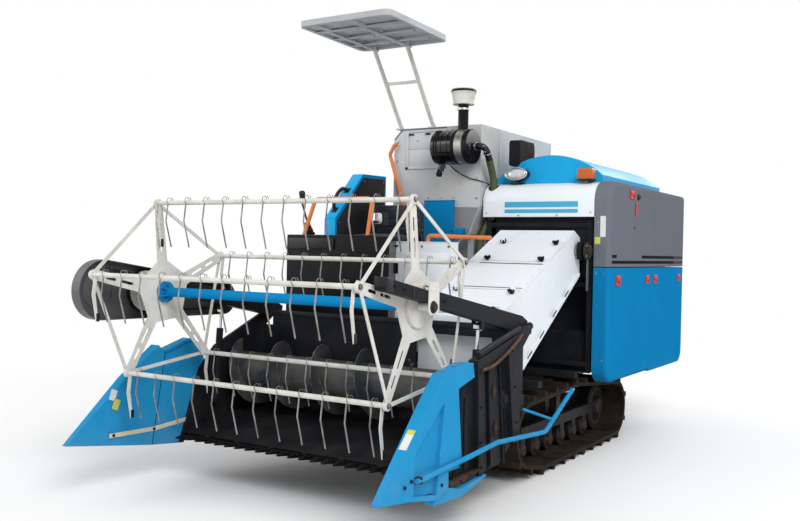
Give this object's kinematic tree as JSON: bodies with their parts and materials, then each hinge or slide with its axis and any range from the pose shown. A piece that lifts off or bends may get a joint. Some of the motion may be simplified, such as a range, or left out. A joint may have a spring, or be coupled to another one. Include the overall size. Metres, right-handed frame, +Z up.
{
  "type": "combine harvester",
  "caption": "Compact tracked combine harvester: tined reel, cutter bar and auger header on a lifting feeder house, threshing body, grain tank and open operator station with canopy.",
  "frame": {"origin": "on the ground, under the centre of the machine's bounding box", "axes": "+X to the machine's left, -Y to its front, +Z up"},
  "size_m": [2.108, 4.778, 2.9654],
  "materials": {
    "bare_steel": "worn",
    "black_paint": "satin",
    "black_plastic": "matt",
    "body_blue": "gloss",
    "cast": "rough",
    "chrome_rod": "polished",
    "cover_grey": "satin",
    "lamp_orange": "gloss",
    "off_white": "gloss",
    "reel_white": "satin",
    "safety_orange": "gloss",
    "seat_vinyl": "satin",
    "silver_paint": "satin",
    "track_rubber": "matt"
  },
  "bodies": {
    "chassis": {"air_cleaner": "black_plastic", "bagging_outlets": "off_white", "canopy_posts": "black_paint", "canopy_roof": "off_white", "chassis_rails": "black_paint", "crossmembers": "black_paint", "drive_axle": "cast", "engine_block": "cast", "engine_cover": "body_blue", "front_cover": "off_white", "front_panel": "black_paint", "grain_tank": "off_white", "handrails": "safety_orange", "head_lamps": "chrome_rod", "muffler": "black_paint", "operator_floor": "black_paint", "pre_cleaner": "off_white", "seat": "seat_vinyl", "service_box": "off_white", "side_console": "body_blue", "steering_lever": "black_plastic", "straw_hood": "black_paint", "thresher_body": "black_paint", "top_cover": "body_blue", "track_frame_left": "black_paint", "track_frame_right": "black_paint", "track_left": "track_rubber", "track_right": "track_rubber", "turn_lamp": "lamp_orange"},
    "header": {"feeder_house": "off_white", "header_pan": "black_paint", "header_side_left": "black_paint", "header_side_right": "black_paint", "cutter_bar": "bare_steel", "divider_left": "body_blue", "divider_right": "body_blue", "guide_tube": "body_blue", "feeder_lids": "off_white"},
    "auger": {"auger": "black_paint"},
    "knife": {"knife": "bare_steel"},
    "reel_arms": {"reel_arms": "black_paint", "reel_belt": "track_rubber", "reel_drive_guard": "silver_paint"},
    "reel": {"reel": "reel_white", "reel_tube": "body_blue"},
    "tine_bar_1": {"tine_bar_1": "reel_white"},
    "tine_bar_2": {"tine_bar_2": "reel_white"},
    "tine_bar_3": {"tine_bar_3": "reel_white"},
    "tine_bar_4": {"tine_bar_4": "reel_white"},
    "tine_bar_5": {"tine_bar_5": "reel_white"},
    "lift_barrel": {"header_lift_barrel": "black_paint"},
    "lift_rod": {"header_lift_rod": "chrome_rod"},
    "reel_barrel_left": {"reel_lift_left_barrel": "black_paint"},
    "reel_rod_left": {"reel_lift_left_rod": "chrome_rod"},
    "reel_barrel_right": {"reel_lift_right_barrel": "black_paint"},
    "reel_rod_right": {"reel_lift_right_rod": "chrome_rod"},
    "upper_cover": {"upper_side_cover": "cover_grey"},
    "lower_front_cover": {"lower_front_cover": "body_blue"},
    "lower_rear_cover": {"lower_rear_cover": "body_blue"},
    "bagging_deck": {"bagging_deck": "black_paint"}
  },
  "joints": [
    {"name": "header_lift", "type": "hinge", "parent": "chassis", "child": "header", "pos_m": [0.51, 0.42, 1.42], "axis": [-1, 0, 0], "range_deg": [-5, 7]},
    {"name": "auger_spin", "type": "hinge", "parent": "header", "child": "auger", "pos_m": [0, -1.08, 0.6], "axis": [1, 0, 0], "continuous": true},
    {"name": "knife_stroke", "type": "slide", "parent": "header", "child": "knife", "axis": [1, 0, 0], "range_m": [-0.038, 0.038]},
    {"name": "reel_lift", "type": "hinge", "parent": "header", "child": "reel_arms", "pos_m": [0, -0.746, 0.976], "axis": [-1, 0, 0], "range_deg": [-6, 12]},
    {"name": "reel_spin", "type": "hinge", "parent": "reel_arms", "child": "reel", "pos_m": [0, -1.83, 1.128], "axis": [1, 0, 0], "continuous": true},
    {"name": "tine_bar_1_turn", "type": "hinge", "parent": "reel", "child": "tine_bar_1", "pos_m": [0, -1.88638, 1.63789], "axis": [1, 0, 0], "continuous": true},
    {"name": "tine_bar_2_turn", "type": "hinge", "parent": "reel", "child": "tine_bar_2", "pos_m": [0, -1.36249, 1.33919], "axis": [1, 0, 0], "continuous": true},
    {"name": "tine_bar_3_turn", "type": "hinge", "parent": "reel", "child": "tine_bar_3", "pos_m": [0, -1.48468, 0.74863], "axis": [1, 0, 0], "continuous": true},
    {"name": "tine_bar_4_turn", "type": "hinge", "parent": "reel", "child": "tine_bar_4", "pos_m": [0, -2.08409, 0.68235], "axis": [1, 0, 0], "continuous": true},
    {"name": "tine_bar_5_turn", "type": "hinge", "parent": "reel", "child": "tine_bar_5", "pos_m": [0, -2.33236, 1.23194], "axis": [1, 0, 0], "continuous": true},
    {"name": "lift_barrel_swing", "type": "hinge", "parent": "chassis", "child": "lift_barrel", "pos_m": [0.275, 0.15, 0.53], "axis": [-1, 0, 0], "range_deg": [-6.17, 8.43]},
    {"name": "lift_rod_slide", "type": "slide", "parent": "lift_barrel", "child": "lift_rod", "axis": [0, -0.9825, 0.1863], "range_m": [-0.0827, 0.115]},
    {"name": "reel_barrel_left_swing", "type": "hinge", "parent": "header", "child": "reel_barrel_left", "pos_m": [0.91, -1.335, 0.43], "axis": [-1, 0, 0], "range_deg": [-0.61, 0.72]},
    {"name": "reel_rod_left_slide", "type": "slide", "parent": "reel_barrel_left", "child": "reel_rod_left", "axis": [0, 0.0784, 0.9969], "range_m": [-0.0587, 0.1155]},
    {"name": "reel_barrel_right_swing", "type": "hinge", "parent": "header", "child": "reel_barrel_right", "pos_m": [-0.91, -1.335, 0.43], "axis": [-1, 0, 0], "range_deg": [-0.61, 0.72]},
    {"name": "reel_rod_right_slide", "type": "slide", "parent": "reel_barrel_right", "child": "reel_rod_right", "axis": [0, 0.0784, 0.9969], "range_m": [-0.0587, 0.1155]},
    {"name": "upper_cover_hinge", "type": "hinge", "parent": "chassis", "child": "upper_cover", "pos_m": [0.8803, 1.4, 1.915], "axis": [0, -1, 0], "range_deg": [0, 80]},
    {"name": "lower_front_cover_hinge", "type": "hinge", "parent": "chassis", "child": "lower_front_cover", "pos_m": [0.8803, 0.51, 0.9], "axis": [0, 0, -1], "range_deg": [0, 95]},
    {"name": "lower_rear_cover_hinge", "type": "hinge", "parent": "chassis", "child": "lower_rear_cover", "pos_m": [0.8803, 2.386, 0.9], "axis": [0, 0, 1], "range_deg": [0, 95]},
    {"name": "bagging_deck_fold", "type": "hinge", "parent": "chassis", "child": "bagging_deck", "pos_m": [-0.9023, 1.16, 0.588], "axis": [0, -1, 0], "range_deg": [0, 90]}
  ],
  "couplings": [
    {"joint": "tine_bar_1_turn", "follows": "reel_spin", "ratio": -1},
    {"joint": "tine_bar_2_turn", "follows": "reel_spin", "ratio": -1},
    {"joint": "tine_bar_3_turn", "follows": "reel_spin", "ratio": -1},
    {"joint": "tine_bar_4_turn", "follows": "reel_spin", "ratio": -1},
    {"joint": "tine_bar_5_turn", "follows": "reel_spin", "ratio": -1},
    {"joint": "lift_barrel_swing", "follows": "header_lift", "ratio": 1.1334},
    {"joint": "lift_rod_slide", "follows": "header_lift", "m_per_rad": 0.925},
    {"joint": "reel_barrel_left_swing", "follows": "reel_lift", "ratio": 0.0185},
    {"joint": "reel_rod_left_slide", "follows": "reel_lift", "m_per_rad": 0.5418},
    {"joint": "reel_barrel_right_swing", "follows": "reel_lift", "ratio": 0.0185},
    {"joint": "reel_rod_right_slide", "follows": "reel_lift", "m_per_rad": 0.5418}
  ]
}
